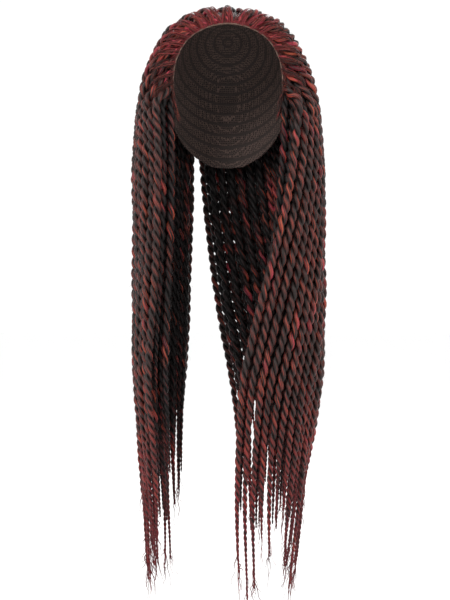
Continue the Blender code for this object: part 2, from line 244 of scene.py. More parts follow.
PART_ROOM = 0.55  # of a twist's spacing, bare on each side of the part
ROOT_SPREAD = 1.25  # above 1, more of the twists near the temple start at the hairline
TEMPLE_ROOM = 0.86  # below 1, the roots near the temple lie wider apart
LEAVE_DROP = 0.110  # below the crown, where the twists leave the cap
HANG_HALF_WIDTH = 0.1165
HANG_HALF_DEPTH = 0.1160
LONGEST_DROP = 0.702  # below the crown, the lowest tip
SHORTEST_DROP = 0.590
PART_AZIMUTH = -20.0  # degrees round the head from the front, + to the right
RIGHT_SHARE = 0.5625  # share of the twists that hang right of the part

# The right half of the hairline, from the front down to the lowest root at the temple: degrees
# round the head from the front, degrees down from the crown.
HAIRLINE = [
    (0, 43.0), (10, 43.6), (20, 45.2), (30, 48.0), (40, 52.0),
    (48, 57.5), (53.5, 66.0), (57, 76.0), (58.5, 86.0), (59.5, 94.0),
]
HAIRLINE_STEPS = 8  # between two of these

# How high a twist's middle lies over the head, in shares of TWIST_DIAMETER, by the degrees
# down from the crown.
LIE = [(0, 0.80), (14, 0.84), (31, 1.20), (47, 1.75), (72, 2.05), (86, 2.55), (98, 3.0), (120, 3.2)]

# Sections through the hanging hair. The drop is a share of LONGEST_DROP, the half depth and
# the shift back of the middle are shares of HANG_HALF_DEPTH, and the rest are shares of
# HANG_HALF_WIDTH: the half width, the shift sideways of the middle, and the x where the front
# and the back row end on the right and on the left. Crowding is how much closer the twists of
# the right side hang at the front than at the back.
HANG_COLUMNS = [
    "half_width", "half_depth", "side", "back",
    "right_front", "right_back", "left_front", "left_back", "crowding",
]
HANG = [
    (0.153, 0.950, 0.960, 0.004, 0.110, 0.700, -0.370, -0.710, -0.370, 0.00),
    (0.280, 0.992, 0.965, 0.008, 0.060, 0.605, -0.330, -0.660, -0.380, 0.02),
    (0.420, 0.985, 0.955, 0.010, 0.030, 0.415, -0.240, -0.700, -0.400, 0.08),
    (0.560, 0.985, 0.930, 0.012, 0.010, 0.205, -0.120, -0.760, -0.430, 0.16),
    (0.640, 0.972, 0.910, 0.000, 0.000, 0.100, -0.030, -0.775, -0.470, 0.22),
    (0.720, 0.925, 0.880, -0.020, 0.000, 0.070, 0.040, -0.750, -0.510, 0.22),
    (0.840, 0.845, 0.850, -0.045, 0.000, 0.050, 0.080, -0.720, -0.520, 0.18),
    (1.000, 0.765, 0.820, -0.070, 0.000, 0.080, 0.120, -0.680, -0.510, 0.15),
]
ROUNDNESS = 2.6  # 2 hangs in an oval, more hangs squarer
ROW_STEPS = 96  # round one side's row

# The taper of a hanging twist: the drop as a share of LONGEST_DROP, the share of the diameter.
TAPER = [
    (0.0, 1.0), (0.50, 1.0), (0.58, 0.96), (0.64, 0.90),
    (0.73, 0.77), (0.84, 0.58), (0.93, 0.36), (1.0, 0.22),
]
TIP_TAPER = 0.12  # length over which a twist thins to its tip, however short it is

WAY_STEPS = 48  # of a twist's way over the cap
TRIED_ASIDE = (0.0, -0.12, 0.12, -0.24, 0.24)  # shares by which a way may be moved aside
WANTED_ROOM = 0.8 * TWIST_GAP  # between a twist and those already placed
LEAST_ROOM = 0.5 * TWIST_GAP
LOWERED_BY = 0.0004  # a step in bringing a twist down under its neighbours
LEAST_WAY = 6  # steps over the cap, kept by a twist that starts far back
HANG_STEPS = 40  # of a twist below the cap
DROP_SPREAD = 1.3  # above 1, more of the twists are short ones
WAVES = 26  # how fast a hanging twist sways, in radians a metre
SWAY_GROWS = 0.1  # length below the cap over which the sway sets in
POINT_SPACING = 0.004  # along a finished route
SOFTENING = 8  # passes that wear down a route's kinks
SEED = 5

FARTHEST = 2.0  # over the head, where over_head still finds a point
HALVINGS = 50  # how closely it finds the height


def head_axes(direction):
    """The head's half sizes on the half that a direction points into."""
    vertical = CROWN_HEIGHT if direction[2] >= 0 else NAPE_REACH
    return np.array([HEAD_HALF_WIDTH, HEAD_HALF_DEPTH, vertical])


def head_point(direction, height):
    """The point at a height over the head."""
    return HEAD_CENTRE + (head_axes(direction) + height) * direction


def over_head(point):
    """The direction and the height over the head of a point outside it."""
    away = point - HEAD_CENTRE
    axes = head_axes(away)
    low, high = -0.9 * min(axes), FARTHEST
    for _ in range(HALVINGS):
        middle = (low + high) / 2
        if np.linalg.norm(away / (axes + middle)) > 1.0:
            low = middle
        else:
            high = middle
    direction = away / (axes + high)
    return direction / np.linalg.norm(direction), high


def between(start, end, share):
    """The direction that lies a share of the way along the great circle from start to end."""
    angle = math.acos(max(-1.0, min(1.0, float(np.dot(start, end)))))
    if angle < 1e-6:
        return start
    mixed = math.sin((1 - share) * angle) * start + math.sin(share * angle) * end
    return mixed / np.linalg.norm(mixed)


def set_back(direction, distance):
    """A direction moved over the cap towards the pole of its ribs by a distance."""
    pole = round_direction(*CAP_POLE)
    start, end = head_point(direction, 0.0), head_point(pole, 0.0)
    return between(direction, pole, distance / (ARC_TO_CHORD * np.linalg.norm(end - start)))


def flow(columns, place):
    """A value read from (place, value) rows by a smooth curve through them."""
    places = [row[0] for row in columns]
    values = [row[1] for row in columns]
    slopes = np.gradient(np.array(values, dtype=float), np.array(places, dtype=float))
    place = max(places[0], min(places[-1], place))
    step = max(i for i in range(len(places) - 1) if places[i] <= place)
    width = places[step + 1] - places[step]
    share = (place - places[step]) / width
    a = (1 + 2 * share) * (1 - share) ** 2 * values[step]
    b = share * (1 - share) ** 2 * width * slopes[step]
    c = share**2 * (3 - 2 * share) * values[step + 1]
    d = share**2 * (share - 1) * width * slopes[step + 1]
    return a + b + c + d


def ease(share):
    """0 to 1, level at both ends."""
    share = max(0.0, min(1.0, share))
    return share * share * (3 - 2 * share)


def along(points, place):
    """The point a length along a line of points."""
    steps = np.linalg.norm(np.diff(points, axis=0), axis=1)
    lengths = np.concatenate([[0.0], np.cumsum(steps)])
    return np.array([np.interp(place, lengths, points[:, axis]) for axis in range(3)])


def length_of(points):
    """The length of a line of points."""
    return float(np.linalg.norm(np.diff(points, axis=0), axis=1).sum())


def hairline_half(sign):
    """Directions along one half of the hairline, from the front down to the temple."""
    rows = [(azimuth * sign, angle) for azimuth, angle in HAIRLINE]
    fine = []
    for first, second in zip(rows, rows[1:]):
        for step in range(HAIRLINE_STEPS):
            share = step / HAIRLINE_STEPS
            azimuth = first[0] + share * (second[0] - first[0])
            fine.append(round_direction(azimuth, first[1] + share * (second[1] - first[1])))
    fine.append(round_direction(*rows[-1]))
    return fine


def hairline_run(side):
    """A side's hairline from its temple to the part, as points on the cap, and the length
    along it that the roots take."""
    line = hairline_half(-1)[::-1] + hairline_half(1)[1:]
    azimuths = [math.degrees(math.atan2(u[0], -u[1])) for u in line]
    part_at = min(range(len(line)), key=lambda i: abs(azimuths[i] - PART_AZIMUTH))
    run = line[part_at:][::-1] if side == "right" else line[: part_at + 1]
    points = np.array([head_point(u, CAP_WALL) for u in run])
    return points, length_of(points) - PART_ROOM * (TWIST_DIAMETER + TWIST_GAP)


def hairline_roots(side, count):
    """The first direction of each hairline twist of a side, from its temple to the part, by the
    twist's number: as many as fit, spread over the side's count of twists."""
    points, reach = hairline_run(side)
    most = min(count, 1 + round(reach / ROOT_SPACING))
    roots = {}
    for index in range(most):
        direction, _ = over_head(along(points, reach * (index / max(1, most - 1)) ** TEMPLE_ROOM))
        number = round((count - 1) * (index / max(1, most - 1)) ** ROOT_SPREAD)
        roots[number] = set_back(direction, ROOT_SETBACK)
    return roots


def section(drop):
    """The columns of HANG at a drop below the crown, all but the crowding as lengths."""
    share = drop / LONGEST_DROP
    sizes = {"half_depth": HANG_HALF_DEPTH, "back": HANG_HALF_DEPTH, "crowding": 1.0}
    found = {}
    for column, name in enumerate(HANG_COLUMNS, start=1):
        value = flow([(row[0], row[column]) for row in HANG], share)
        found[name] = sizes.get(name, HANG_HALF_WIDTH) * value
    return found


def row_at(side, drop):
    """The line that one side's twists hang on at a drop, from its front end round to its back."""
    cut = section(drop)
    sign = 1 if side == "right" else -1

    def turn(x):
        """The angle round the section where a side's row reaches an x."""
        reach = max(-1.0, min(1.0, (x - cut["side"]) * sign / cut["half_width"]))
        return math.copysign(math.asin(abs(reach) ** (ROUNDNESS / 2)), reach)

    start = turn(cut[side + "_front"])
    end = math.pi - turn(cut[side + "_back"])
    points = []
    for step in range(ROW_STEPS + 1):
        angle = start + (end - start) * step / ROW_STEPS
        across = math.copysign(abs(math.sin(angle)) ** (2 / ROUNDNESS), math.sin(angle))
        deep = math.copysign(abs(math.cos(angle)) ** (2 / ROUNDNESS), math.cos(angle))
        x = cut["side"] + sign * cut["half_width"] * across
        points.append((x, cut["back"] - cut["half_depth"] * deep, -drop))
    return np.array(points), cut["crowding"]


def hang_point(side, place, drop, sway=0.0):
    """Where the twist at a share 0..1 of its side's row hangs at a drop, swayed outwards."""
    points, crowding = row_at(side, drop)
    crowding = crowding if side == "right" else 0.0
    share = place * (1 - crowding) + crowding * place * place
    total = length_of(points)
    point = along(points, share * total)
    if sway:
        out = point - np.array([0.0, 0.0, -drop])
        point = point + sway * out / np.linalg.norm(out)
    return point


def side_count(side):
    """How many twists hang on a side: as many as fit where they leave the cap."""
    whole = sum(length_of(row_at(name, LEAVE_DROP)[0]) for name in ("right", "left"))
    count = int(whole / (TWIST_DIAMETER + TWIST_GAP))
    right = round(count * RIGHT_SHARE)
    return right if side == "right" else count - right


def lie_height(direction):
    """How high a twist's middle lies over the head in a direction."""
    angle = math.degrees(math.acos(max(-1.0, min(1.0, float(direction[2])))))
    return TWIST_DIAMETER * flow(LIE, angle)


def root_diameter(gone):
    """A twist's diameter near its root, at a length from its start."""
    return ROOT_DIAMETER + (TWIST_DIAMETER - ROOT_DIAMETER) * ease(gone / ROOT_TAPER)


def root_height(gone=0.0):
    """The least height of a twist's middle over the head, at a length from its start."""
    seat = CLEARANCE + (SEAT - CLEARANCE) * ease(gone / ROOT_TAPER)
    lean = ROOT_LEAN + (1 - ROOT_LEAN) * ease(gone / ROOT_TAPER)
    return CAP_WALL + seat + lean * root_diameter(gone) / 2


def cap_line(root, leave):
    """A hairline twist's way from its root over the cap to where it leaves it."""
    end, end_height = over_head(leave)
    fall = FALL_SHARE * np.linalg.norm(leave - head_point(root, 0.0))
    above, _ = over_head(leave + np.array([0.0, 0.0, fall]))
    line, gone, last = [], 0.0, None
    for step in range(WAY_STEPS + 1):
        share = step / WAY_STEPS
        direction = between(between(root, above, share), between(above, end, share), share)
        full = lie_height(direction) + (end_height - lie_height(end)) * share**3
        point = head_point(direction, full)
        if last is not None:
            gone += np.linalg.norm(point - last)
        last = point
        height = root_height() + (full - root_height()) * ease(gone / LIFT_LENGTH)
        line.append(head_point(direction, max(height, root_height(gone))))
    line[-1] = leave
    return np.array(line)


def under_line(lower, upper, share, leave, placed):
    """A twist's way between two hairline twists: it starts where it clears the placed ones."""
    crowd = np.concatenate(placed)
    best, most = None, -1.0
    for aside in TRIED_ASIDE:
        line = between_ways(lower, upper, share + aside, leave, crowd)
        for start in range(0, max(1, len(line) - LEAST_WAY), 2):
            way, gone = lifted(line[start:])
            gaps = [np.linalg.norm(crowd - point, axis=1).min() for point in way]
            slim = [(TWIST_DIAMETER - root_diameter(done)) / 2 for done in gone]
            room = min(gap + spare for gap, spare in zip(gaps, slim))
            if room > most:
                best, most = way, room
            if room >= TWIST_DIAMETER + LEAST_ROOM:
                return best
    return best


def between_ways(lower, upper, share, leave, crowd):
    """A way a share of the way from a lower to an upper one, back from where it leaves the cap
    to where it would touch the crowd."""
    end, end_height = over_head(leave)
    apart = TWIST_DIAMETER + WANTED_ROOM
    line = []
    for step in range(WAY_STEPS, -1, -1):
        part = step / WAY_STEPS
        first, first_height = over_head(lower[step])
        second, second_height = over_head(upper[step])
        blend = between(first, second, share)
        mixed = between(blend, end, part**4)
        full = lie_height(mixed) + (end_height - lie_height(end)) * part**3
        height = min(full, max(first_height, second_height))
        while height > root_height():
            gap = np.linalg.norm(crowd - head_point(mixed, height), axis=1).min()
            if gap >= apart:
                break
            height -= LOWERED_BY
        if height <= root_height() and step < WAY_STEPS - 2:
            break
        line.append(head_point(mixed, max(height, root_height())))
    line = line[::-1]
    line[-1] = leave
    return line


def lifted(line):
    """A way over the cap with its first stretch brought down to the cap, and the length gone
    at each of its points."""
    rise = over_head(along(np.array(line), 0.7 * LIFT_LENGTH))[1] - root_height()
    steep = max(0.5 * LIFT_LENGTH, 1.25 * rise)
    lift, lengths = [], []
    gone = 0.0
    for number, point in enumerate(line):
        if number:
            gone += np.linalg.norm(point - line[number - 1])
        direction, height = over_head(point)
        low = root_height() + (height - root_height()) * ease(gone / steep)
        lift.append(head_point(direction, max(min(height, low), root_height(gone))))
        lengths.append(gone)
    return np.array(lift), lengths


def fill(points, spacing):
    """The same line with a point at every spacing."""
    total = length_of(points)
    count = max(2, int(total / spacing))
    return np.array([along(points, total * step / count) for step in range(count + 1)])


def soften(points, passes):
    """A line of points with its kinks worn down and its ends kept."""
    for _ in range(passes):
        inner = 0.25 * points[:-2] + 0.5 * points[1:-1] + 0.25 * points[2:]
        points = np.concatenate([points[:1], inner, points[-1:]])
    return points


def twist_routes():
    """Each twist's name and its middle line, with a point about every 4 mm."""
    shake = random.Random(SEED)
    routes = {}
    for side in ("right", "left"):
        count = side_count(side)
        places = [(index + 0.5) / count for index in range(count)]
        leaves = [hang_point(side, place, LEAVE_DROP) for place in places]
        roots = hairline_roots(side, count)
        over = {top: cap_line(root, leaves[top]) for top, root in roots.items()}
        tops = sorted(over)
        lines = dict(over)
        for low, high in zip(tops, tops[1:]):
            for index in range(low + 1, high):
                placed = [line for other, line in lines.items() if abs(other - index) <= high - low]
                share = (index - low) / (high - low)
                lines[index] = under_line(over[low], over[high], share, leaves[index], placed)
        for index in range(count):
            phase = shake.uniform(0, 2 * math.pi)
            drop = SHORTEST_DROP + (LONGEST_DROP - SHORTEST_DROP) * shake.random() ** DROP_SPREAD
            if side == "right" and index == 1:  # the longest one is in front
                drop = LONGEST_DROP
            hang = []
            for step in range(1, HANG_STEPS + 1):
                here = LEAVE_DROP + (drop - LEAVE_DROP) * step / HANG_STEPS
                sway = WAVE * math.sin(phase + WAVES * (here - LEAVE_DROP))
                sway = sway * ease((here - LEAVE_DROP) / SWAY_GROWS)
                hang.append(hang_point(side, places[index], here, sway))
            line = np.concatenate([lines[index], np.array(hang)])
            line = soften(fill(line, POINT_SPACING), SOFTENING)
            routes["twist_%s_%02d" % (side, index + 1)] = line
    return routes


def twist_radius(point, gone, left):
    """A twist's radius at a point, a length from its root and a length from its tip."""
    full = TWIST_DIAMETER * flow(TAPER, -point[2] / LONGEST_DROP)
    tip = TIP_DIAMETER + (TWIST_DIAMETER - TIP_DIAMETER) * min(1.0, left / TIP_TAPER)
    return min(full, root_diameter(gone), tip) / 2


# The hair is one kind of fine synthetic fibre, dyed near-black, wine and rose in the same lock:
# rosy where it leaves the hairline, dark with thin red streaks below, and red again at the tips.
# Each strand carries a map "strand": across it, with a random whole number added that sets its
# dye apart, and along it in metres from its root. A second map "ridge" says how far out of the
# twist a place lies, from 0 in its middle to 1 on its ridges. From it the colour is painted darker
# between the plies as painted shade, and lighter and redder on the ridges as painted highlight.

DARK = (0.0185, 0.0125, 0.0115)
WINE = (0.170, 0.029, 0.020)
ROSE = (0.270, 0.026, 0.046)
RUST = (0.240, 0.044, 0.020)  # some of the locks that are not rose
CRIMSON = (0.105, 0.0090, 0.0125)  # the wine of the tips
GROOVE_PAINTED_SHADE = 0.20  # painted shade: how much darker the colour is made between the plies
RIDGE_PAINTED_HIGHLIGHT = 1.12  # painted highlight: how much lighter the colour is made on the ridges
ROOT_ROSE_REACH = 0.085  # how far the rosy colour reaches from the roots
TIP_RED_FROM = 0.38  # below the crown, where the lengths start to redden
TIP_RED_FULL = 0.66
HAIRLINE_ROSE = (-0.130, -0.012)  # heights between which the roots turn from dark to rosy
FIBRE_SHADE = (0.45, 1.55)  # the darkest and the lightest fibre, as shares of the colour
ACROSS_AND_ALONG = {  # how fine the streaks of each noise are, across and along a strand
    "fibre": (26.0, 55.0, 1.0),
    "lock": (7.0, 24.0, 1.0),
    "dye": (0.9, 9.0, 1.0),
}


def stretched_noise(tree, vector, stretch, detail, roughness):
    """Streaks along the strands."""
    scaled = vector_sum(tree, "MULTIPLY", vector, stretch)
    made = tree.nodes.new("ShaderNodeTexNoise")
    made.inputs["Scale"].default_value = 1.0
    made.inputs["Detail"].default_value = detail
    made.inputs["Roughness"].default_value = roughness
    tree.links.new(scaled.outputs[0], made.inputs["Vector"])
    return made.outputs["Fac"]


def weighed(tree, parts):
    """The sum of (value, weight) parts, with each noise weighed about its middle."""
    total = None
    for value, weight, middle in parts:
        part = calculated(tree, "MULTIPLY", calculated(tree, "SUBTRACT", value, middle), weight)
        total = part if total is None else calculated(tree, "ADD", total, part)
    return total


DYED_FIBRES_WITH_PAINTED_SHADE, given, put_out = new_group(
    "dyed fibres with painted shade",
    [
        ("Strand", "Vector"),
        ("Place", "Vector"),
        ("Dark", "Color"),
        ("Wine", "Color"),
        ("Rose", "Color"),
        ("Crimson", "Color"),
        ("Ridge", "Float"),
        ("Redness", "Float"),
        ("Root Rose", "Float"),
    ],
    [("Colour", "Color"), ("Height", "Float")],
)
tree = DYED_FIBRES_WITH_PAINTED_SHADE
fibre = stretched_noise(tree, given["Strand"], ACROSS_AND_ALONG["fibre"], 3.0, 0.6)
lock = stretched_noise(tree, given["Strand"], ACROSS_AND_ALONG["lock"], 2.0, 0.6)
dye = stretched_noise(tree, given["Strand"], ACROSS_AND_ALONG["dye"], 1.0, 0.5)
placed = tree.nodes.new("ShaderNodeSeparateXYZ")
tree.links.new(given["Place"], placed.inputs[0])
stranded = tree.nodes.new("ShaderNodeSeparateXYZ")
tree.links.new(given["Strand"], stranded.inputs[0])
tips = rising(tree, placed.outputs["Z"], -TIP_RED_FROM, -TIP_RED_FULL)
roots = rising(tree, stranded.outputs["Y"], ROOT_ROSE_REACH, 0.0)
high = rising(tree, placed.outputs["Z"], *HAIRLINE_ROSE)
ridge = given["Ridge"]
# the ridge term is painted light: more wine on the ridges as painted highlight, less in the grooves
# as painted shade
red = weighed(
    tree,
    [(dye, 1.3, 0.5), (lock, 3.4, 0.5), (fibre, 2.8, 0.5), (ridge, 2.0, 0.90), (tips, 0.75, 0.0)],
)
wine = rising(tree, calculated(tree, "ADD", red, given["Redness"]), 0.0, 1.0)
rosy = calculated(tree, "MULTIPLY", calculated(tree, "MULTIPLY", roots, high), given["Root Rose"])
patches = weighed(tree, [(lock, 2.6, 0.5), (dye, 3.2, 0.5), (fibre, 1.2, 0.5)])
rosy = rising(tree, calculated(tree, "ADD", rosy, patches), 0.32, 0.95)
rose = blended(tree, rising(tree, lock, 0.49, 0.60), given["Rose"], RUST)
reds = blended(tree, tips, given["Wine"], given["Crimson"])
colour = blended(tree, wine, given["Dark"], reds)
colour = blended(tree, rosy, colour, rose)
shade = tree.nodes.new("ShaderNodeMapRange")
tree.links.new(fibre, shade.inputs["Value"])
shade.inputs["From Min"].default_value = 0.25
shade.inputs["From Max"].default_value = 0.75
shade.inputs["To Min"].default_value = FIBRE_SHADE[0]
shade.inputs["To Max"].default_value = FIBRE_SHADE[1]
# painted shade between the plies and painted highlight on the ridges, multiplied into the colour
painted_shade_and_highlight = rising(tree, ridge, 0.30, 0.98)
painted_shade_and_highlight = calculated(tree, "ADD", GROOVE_PAINTED_SHADE, calculated(tree, "MULTIPLY", painted_shade_and_highlight, RIDGE_PAINTED_HIGHLIGHT - GROOVE_PAINTED_SHADE))
tinted = vector_sum(tree, "SCALE", colour)
tree.links.new(calculated(tree, "MULTIPLY", shade.outputs[0], painted_shade_and_highlight), tinted.inputs["Scale"])
tree.links.new(tinted.outputs[0], put_out["Colour"])
tree.links.new(fibre, put_out["Height"])


def hair(name, dark, wine, redness, root_rose, roughness, bump):
    """Fine fibre with a soft sheen, as a material."""
    made, tree, shader, place = new_surface(name, roughness, Specular_IOR_Level=0.16)
    strand = tree.nodes.new("ShaderNodeUVMap")
    strand.uv_map = "strand"
    ridge_map = tree.nodes.new("ShaderNodeUVMap")
    ridge_map.uv_map = "ridge"
    ridge = tree.nodes.new("ShaderNodeSeparateXYZ")
    tree.links.new(ridge_map.outputs[0], ridge.inputs[0])
    fibres = place_group(
        tree, DYED_FIBRES_WITH_PAINTED_SHADE, Strand=strand.outputs[0], Place=place, Ridge=ridge.outputs["X"],
        Dark=dark, Wine=wine, Rose=ROSE, Crimson=CRIMSON, Redness=redness, Root_Rose=root_rose,
    )
    tree.links.new(fibres["Colour"], shader.inputs["Base Color"])
    raised(tree, shader, fibres["Height"], bump, 0.0005)
    return made


TWISTED_HAIR = hair("twisted hair", DARK, WINE, 0.05, 0.68, 0.36, 0.6)

PLY_RADIUS = 0.285  # of the twist's diameter
PLY_OFFSET = 0.235  # of the twist's diameter, from its middle to a ply's middle
TURN_LENGTH = 0.0268  # of a twist at its full diameter
TURN_LIMITS = (0.30, 1.1)  # shares of the diameter between which the turns follow it
TURN_SHRINK = 0.8  # how much shorter the turns get where a twist is slim: 0 not, 1 in step
TURN_STATIONS = 10  # points of a ply to a turn
PLY_SIDES = 8
TURN_WAY = -1.0  # -1 winds as a left-handed screw, as in the photo
ROOT_DIP = 0.006  # over which the plies thin and close together at the root
ROOT_CLOSED = 0.35  # how thick a ply is at its very root, as a share
UNEVEN_TURN = 0.35  # radians, how unevenly a twist is wound
UNEVEN_PLY = 0.06  # of a ply's thickness, how much it swells
DYE_NUMBERS = (1, 300)  # the numbers that set the strands' dye apart, up to the second
LOOSE_RIDGE = 0.9  # the ridge value of hair that is not wound, which gives it nearly a ridge's painted highlight
LOOKS_SEED = 11


def carried_frames(points):
    """At each point of a line two directions across it, carried along without turning."""
    heading = np.gradient(points, axis=0)
    heading /= np.linalg.norm(heading, axis=1)[:, None]
    first = np.cross(heading[0], np.array([0.31, 0.87, 0.38]))
    across = [first / np.linalg.norm(first)]
    for step in range(1, len(points)):
        side = across[-1] - heading[step] * np.dot(across[-1], heading[step])
        across.append(side / np.linalg.norm(side))
    across = np.array(across)
    return across, np.cross(heading, across)


def fibre_mesh(name, strands, sides, surface, shake):
    """One piece of many strands, with its maps. A strand is its points, radii and metres from
    the root, and in a twist also the twist's middle and its width at each point."""
    curve = bpy.data.curves.new(name, "CURVE")
    curve.dimensions = "3D"
    curve.bevel_depth = 1.0
    curve.bevel_resolution = sides // 2 - 2
    curve.use_fill_caps = True
    for points, radii, *_ in strands:
        spline = curve.splines.new("POLY")
        spline.points.add(len(points) - 1)
        flat = np.concatenate([points, np.ones((len(points), 1))], axis=1)
        spline.points.foreach_set("co", flat.ravel())
        spline.points.foreach_set("radius", radii)
    made = bpy.data.objects.new(name, curve)
    bpy.context.scene.collection.objects.link(made)
    bpy.ops.object.select_all(action="DESELECT")
    made.select_set(True)
    bpy.context.view_layer.objects.active = made
    bpy.ops.object.convert(target="MESH")
    made = bpy.context.view_layer.objects.active
    bpy.ops.object.shade_smooth()
    mesh = made.data
    mesh.materials.clear()
    mesh.materials.append(surface)
    layer = mesh.uv_layers[0]
    layer.name = "strand"
    values = np.zeros(len(mesh.loops) * 2)
    layer.data.foreach_get("uv", values)
    values = values.reshape(-1, 2)
    walls = sum((len(strand[0]) - 1) * sides * 4 for strand in strands)
    start = len(mesh.loops) - walls
    values[:start] = 0.0
    corners = np.zeros(len(mesh.loops), dtype=np.int32)
    mesh.loops.foreach_get("vertex_index", corners)
    places = np.zeros(len(mesh.vertices) * 3)
    mesh.vertices.foreach_get("co", places)
    places = places.reshape(-1, 3)
    ridges = np.full((len(mesh.loops), 2), LOOSE_RIDGE)
    for points, _, gone, *core in strands:
        stop = start + (len(points) - 1) * sides * 4
        place = values[start:stop, 0] * (len(points) - 1)
        around = np.abs(2.0 * values[start:stop, 1] - 1.0)
        stations = np.arange(len(points))
        values[start:stop, 1] = np.interp(place, stations, gone)
        values[start:stop, 0] = around + 3.0 * shake.randrange(*DYE_NUMBERS)
        if core:
            middle, width = core
            near = [np.interp(place, stations, middle[:, axis]) for axis in range(3)]
            near = np.stack(near, axis=1)
            far_out = np.linalg.norm(places[corners[start:stop]] - near, axis=1)
            most = (PLY_RADIUS + PLY_OFFSET) * np.interp(place, stations, width)
            ridges[start:stop, 0] = far_out / most
        start = stop
    layer.data.foreach_set("uv", values.ravel())
    mesh.uv_layers.new(name="ridge").data.foreach_set("uv", ridges.ravel())
    return made


def wound_plies(line, radius_at, shake, stations):
    """The two plies of a rope twist along a line, as strands."""
    steps = np.linalg.norm(np.diff(line, axis=0), axis=1)
    lengths = np.concatenate([[0.0], np.cumsum(steps)])
    places = zip(line, lengths)
    radii = np.array([radius_at(point, gone, lengths[-1] - gone) for point, gone in places])
    pitch = TURN_LENGTH * np.clip(2 * radii / TWIST_DIAMETER, *TURN_LIMITS) ** TURN_SHRINK
    turns = np.concatenate([[0.0], np.cumsum(2 * steps / (pitch[1:] + pitch[:-1]))])
    count = max(12, int(turns[-1] * stations))
    turn = np.linspace(0.0, turns[-1], count + 1)
    gone = np.interp(turn, turns, lengths)
    middle = np.stack([np.interp(gone, lengths, line[:, axis]) for axis in range(3)], axis=1)
    width = 2 * np.interp(gone, lengths, radii)
    one, two = carried_frames(middle)
    start = shake.uniform(0, 2 * math.pi)
    dip = ROOT_CLOSED + (1 - ROOT_CLOSED) * np.clip(gone / ROOT_DIP, 0.0, 1.0) ** 0.7
    strands = []
    for ply in range(2):
        angle = start + math.pi * ply + TURN_WAY * 2 * math.pi * turn
        uneven = np.sin(turn * 1.7 + shake.uniform(0, 6.28)) * np.sin(turn * 0.6)
        angle = angle + UNEVEN_TURN * uneven
        swell = 1.0 + UNEVEN_PLY * np.sin(turn * 2.3 + shake.uniform(0, 6.28))
        out = PLY_OFFSET * width * dip
        centre = middle + (out * np.cos(angle))[:, None] * one
        centre = centre + (out * np.sin(angle))[:, None] * two
        strands.append((centre, PLY_RADIUS * width * swell * dip, gone, middle, width * dip))
    return strands


def finish_hair(piece, *replaced):
    """Rides on the wig's one body, and stands for the solids named."""
    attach(piece, "root")
    if replaced:
        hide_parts(*replaced)


routes = twist_routes()
shake = random.Random(LOOKS_SEED)
for name, line in routes.items():
    plies = wound_plies(line, twist_radius, shake, TURN_STATIONS)
    finish_hair(fibre_mesh(name + "_plies", plies, PLY_SIDES, TWISTED_HAIR, shake), name)


# Behind the outer row lie shorter twists, sewn to the wefts between the others, their colour
# painted darker and less red as painted shade. They fill the wig out: they hug the cap under the
# outer ones and hang inside them.

INNER_DIAMETER = 0.0102
INNER_INSETS = (0.0125, 0.0245)  # from the outer row in to the two inner ones
INNER_LONGEST = 0.630
INNER_SHORTEST = 0.470
INNER_STARTS = (0.16, 0.72)  # share of the way over the cap where each inner row starts
INNER_STATIONS = (7, 6)  # points of a ply to a turn, in each row
INNER_SHIFT = 0.3  # of the spacing, from one inner row to the next
INNER_FACING = (0.055, 0.090)  # nearer the middle than this they lie straight behind the gaps
INNER_TIP_TAPER = 0.15
INNER_HANG_STEPS = 32

# painted shade: the same fibre as the outer twists, given darker and less red colours
INNER_DARK_PAINTED_SHADE = (0.0085, 0.0070, 0.0070)
INNER_WINE_PAINTED_SHADE = (0.110, 0.015, 0.014)
INNER_HAIR_PAINTED_SHADE = hair("inner hair with painted shade", INNER_DARK_PAINTED_SHADE, INNER_WINE_PAINTED_SHADE, -0.30, 0.45, 0.52, 0.5)


def over_cap(name, stations):
    """The stretch of a route over the cap, as directions at even steps."""
    line = routes[name]
    drops = np.maximum.accumulate(-line[:, 2])
    stop = int(np.searchsorted(drops, LEAVE_DROP))
    stretch = line[: max(3, stop + 1)]
    total = length_of(stretch)
    return [over_head(along(stretch, total * step / stations))[0] for step in range(stations + 1)]


def inner_line(side, place, lower, upper, share, inward, start, drop):
    """An inner twist under a lower and an upper outer one, then inside the hanging row."""

    def inset(here):
        """The point of the hanging row at a drop, moved inwards."""
        point = hang_point(side, place, here)
        facing = np.interp(abs(point[0]), INNER_FACING, (0.2, 1.0))
        out = np.array([facing * point[0], point[1], 0.0])
        return point - inward * out / np.linalg.norm(out)

    end, end_height = over_head(inset(LEAVE_DROP))
    hug = CAP_WALL + SEAT + INNER_DIAMETER / 2
    line = []
    for step, (first, second) in enumerate(zip(lower, upper)):
        part = step / (len(lower) - 1)
        if part < start:
            continue
        direction = between(between(first, second, share), end, part**4)
        rise = ease((part - 0.5) / 0.5)
        line.append(head_point(direction, hug + max(0.0, end_height - hug) * rise))
    for step in range(1, INNER_HANG_STEPS + 1):
        line.append(inset(LEAVE_DROP + (drop - LEAVE_DROP) * step / INNER_HANG_STEPS))
    return soften(fill(np.array(line), POINT_SPACING), SOFTENING)


def inner_radius(point, gone, left):
    """An inner twist's radius, a length from its root and a length from its tip."""
    root = ROOT_DIAMETER + (INNER_DIAMETER - ROOT_DIAMETER) * ease(gone / ROOT_TAPER)
    tip = TIP_DIAMETER + (INNER_DIAMETER - TIP_DIAMETER) * min(1.0, left / INNER_TIP_TAPER)
    return min(root, tip) / 2


